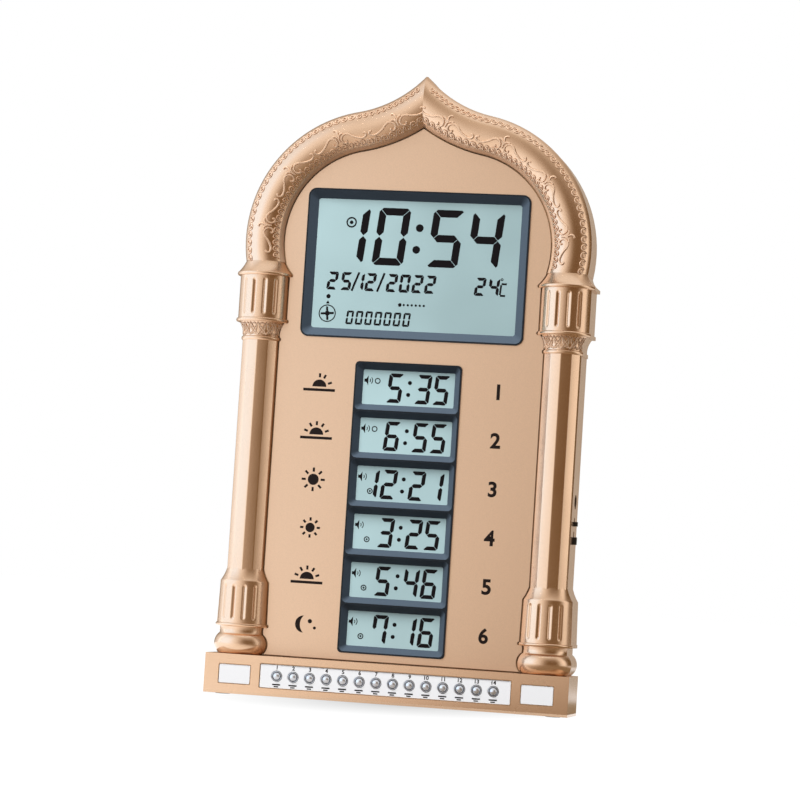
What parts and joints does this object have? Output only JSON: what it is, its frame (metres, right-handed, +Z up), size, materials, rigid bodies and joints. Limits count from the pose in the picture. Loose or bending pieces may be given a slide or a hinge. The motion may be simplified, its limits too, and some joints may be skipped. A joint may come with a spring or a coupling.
{
  "type": "azan clock",
  "caption": "Free-standing prayer-time clock: pointed-arch case, two columns, a main display over a stack of small ones, a row of push buttons, rear stand and speaker.",
  "frame": {"origin": "middle of the underside, on the surface it stands on", "axes": "+Z up; the front with the displays faces -Y; +X is to the right seen from the front"},
  "size_m": [0.215, 0.0377, 0.37],
  "materials": {
    "case_paint": "moulded ABS, rose-gold metallic paint",
    "panel_satin": "moulded ABS, satin rose-gold paint",
    "bezel_navy": "moulded ABS, satin slate-blue",
    "display_glass": "liquid-crystal glass under a satin polariser",
    "white_trim": "moulded white plastic",
    "plated_caps": "chrome-plated ABS",
    "foot_rubber": "moulded rubber",
    "strip_rubber": "layered conductive rubber",
    "cover_black": "moulded black ABS, fine texture",
    "control_black": "moulded black nylon",
    "board_green": "glass-epoxy board",
    "light_guide": "clear acrylic",
    "steel": "zinc-plated steel",
    "speaker_steel": "pressed steel",
    "magnet": "ferrite",
    "cone_paper": "pressed black paper",
    "ribbon": "flat cable, grey sheath"
  },
  "bodies": {
    "case": {"battery_box": "cover_black", "battery_contacts": "steel", "board_parts": "control_black", "board_screws": "steel", "connector_strips": "strip_rubber", "cover_screws": "steel", "dc_socket": "control_black", "end_plates": "white_trim", "front_case": "case_paint", "front_panel": "panel_satin", "key_board": "board_green", "key_ribbon": "ribbon", "key_strip": "white_trim", "key_switches": "control_black", "left_arch": "case_paint", "left_column": "case_paint", "light_guides": "light_guide", "main_bezel": "bezel_navy", "main_board": "board_green", "main_display": "display_glass", "plinth": "case_paint", "prayer_bezel": "bezel_navy", "prayer_board": "board_green", "prayer_display_1": "display_glass", "prayer_display_2": "display_glass", "prayer_display_3": "display_glass", "prayer_display_4": "display_glass", "prayer_display_5": "display_glass", "prayer_display_6": "display_glass", "rear_cover": "cover_black", "right_arch": "case_paint", "right_column": "case_paint", "rubber_feet": "foot_rubber", "side_board": "board_green", "slide_switches": "control_black", "socket_pin": "steel", "speaker_cone": "cone_paper", "speaker_frame": "speaker_steel", "speaker_magnet": "magnet", "speaker_screws": "steel", "stand_bracket": "cover_black", "stand_pin": "steel"},
    "button_01": {"button_01": "plated_caps"},
    "button_02": {"button_02": "plated_caps"},
    "button_03": {"button_03": "plated_caps"},
    "button_04": {"button_04": "plated_caps"},
    "button_05": {"button_05": "plated_caps"},
    "button_06": {"button_06": "plated_caps"},
    "button_07": {"button_07": "plated_caps"},
    "button_08": {"button_08": "plated_caps"},
    "button_09": {"button_09": "plated_caps"},
    "button_10": {"button_10": "plated_caps"},
    "button_11": {"button_11": "plated_caps"},
    "button_12": {"button_12": "plated_caps"},
    "button_13": {"button_13": "plated_caps"},
    "button_14": {"button_14": "plated_caps"},
    "volume_knob": {"volume_knob": "control_black"},
    "light_knob": {"light_knob": "control_black"},
    "battery_door": {"battery_door": "cover_black"},
    "stand_leg": {"stand_leg": "cover_black"}
  },
  "joints": [
    {"name": "button_01_press", "type": "slide", "parent": "case", "child": "button_01", "axis": [0, 1, 0], "range_m": [0, 0.0008], "stiffness_N_per_m": 800, "springref_m": -0.0006},
    {"name": "button_02_press", "type": "slide", "parent": "case", "child": "button_02", "axis": [0, 1, 0], "range_m": [0, 0.0008], "stiffness_N_per_m": 800, "springref_m": -0.0006},
    {"name": "button_03_press", "type": "slide", "parent": "case", "child": "button_03", "axis": [0, 1, 0], "range_m": [0, 0.0008], "stiffness_N_per_m": 800, "springref_m": -0.0006},
    {"name": "button_04_press", "type": "slide", "parent": "case", "child": "button_04", "axis": [0, 1, 0], "range_m": [0, 0.0008], "stiffness_N_per_m": 800, "springref_m": -0.0006},
    {"name": "button_05_press", "type": "slide", "parent": "case", "child": "button_05", "axis": [0, 1, 0], "range_m": [0, 0.0008], "stiffness_N_per_m": 800, "springref_m": -0.0006},
    {"name": "button_06_press", "type": "slide", "parent": "case", "child": "button_06", "axis": [0, 1, 0], "range_m": [0, 0.0008], "stiffness_N_per_m": 800, "springref_m": -0.0006},
    {"name": "button_07_press", "type": "slide", "parent": "case", "child": "button_07", "axis": [0, 1, 0], "range_m": [0, 0.0008], "stiffness_N_per_m": 800, "springref_m": -0.0006},
    {"name": "button_08_press", "type": "slide", "parent": "case", "child": "button_08", "axis": [0, 1, 0], "range_m": [0, 0.0008], "stiffness_N_per_m": 800, "springref_m": -0.0006},
    {"name": "button_09_press", "type": "slide", "parent": "case", "child": "button_09", "axis": [0, 1, 0], "range_m": [0, 0.0008], "stiffness_N_per_m": 800, "springref_m": -0.0006},
    {"name": "button_10_press", "type": "slide", "parent": "case", "child": "button_10", "axis": [0, 1, 0], "range_m": [0, 0.0008], "stiffness_N_per_m": 800, "springref_m": -0.0006},
    {"name": "button_11_press", "type": "slide", "parent": "case", "child": "button_11", "axis": [0, 1, 0], "range_m": [0, 0.0008], "stiffness_N_per_m": 800, "springref_m": -0.0006},
    {"name": "button_12_press", "type": "slide", "parent": "case", "child": "button_12", "axis": [0, 1, 0], "range_m": [0, 0.0008], "stiffness_N_per_m": 800, "springref_m": -0.0006},
    {"name": "button_13_press", "type": "slide", "parent": "case", "child": "button_13", "axis": [0, 1, 0], "range_m": [0, 0.0008], "stiffness_N_per_m": 800, "springref_m": -0.0006},
    {"name": "button_14_press", "type": "slide", "parent": "case", "child": "button_14", "axis": [0, 1, 0], "range_m": [0, 0.0008], "stiffness_N_per_m": 800, "springref_m": -0.0006},
    {"name": "volume_slide", "type": "slide", "parent": "case", "child": "volume_knob", "axis": [0, 0, 1], "range_m": [0, 0.002]},
    {"name": "light_slide", "type": "slide", "parent": "case", "child": "light_knob", "axis": [0, 0, 1], "range_m": [0, 0.003]},
    {"name": "battery_door_hinge", "type": "hinge", "parent": "case", "child": "battery_door", "pos_m": [-0.06803, 0.01885, 0.0607], "axis": [-1, 0, 0], "range_deg": [0, 70]},
    {"name": "stand_hinge", "type": "hinge", "parent": "case", "child": "stand_leg", "pos_m": [0, 0.01645, 0.118], "axis": [1, 0, 0], "range_deg": [0, 25]}
  ]
}
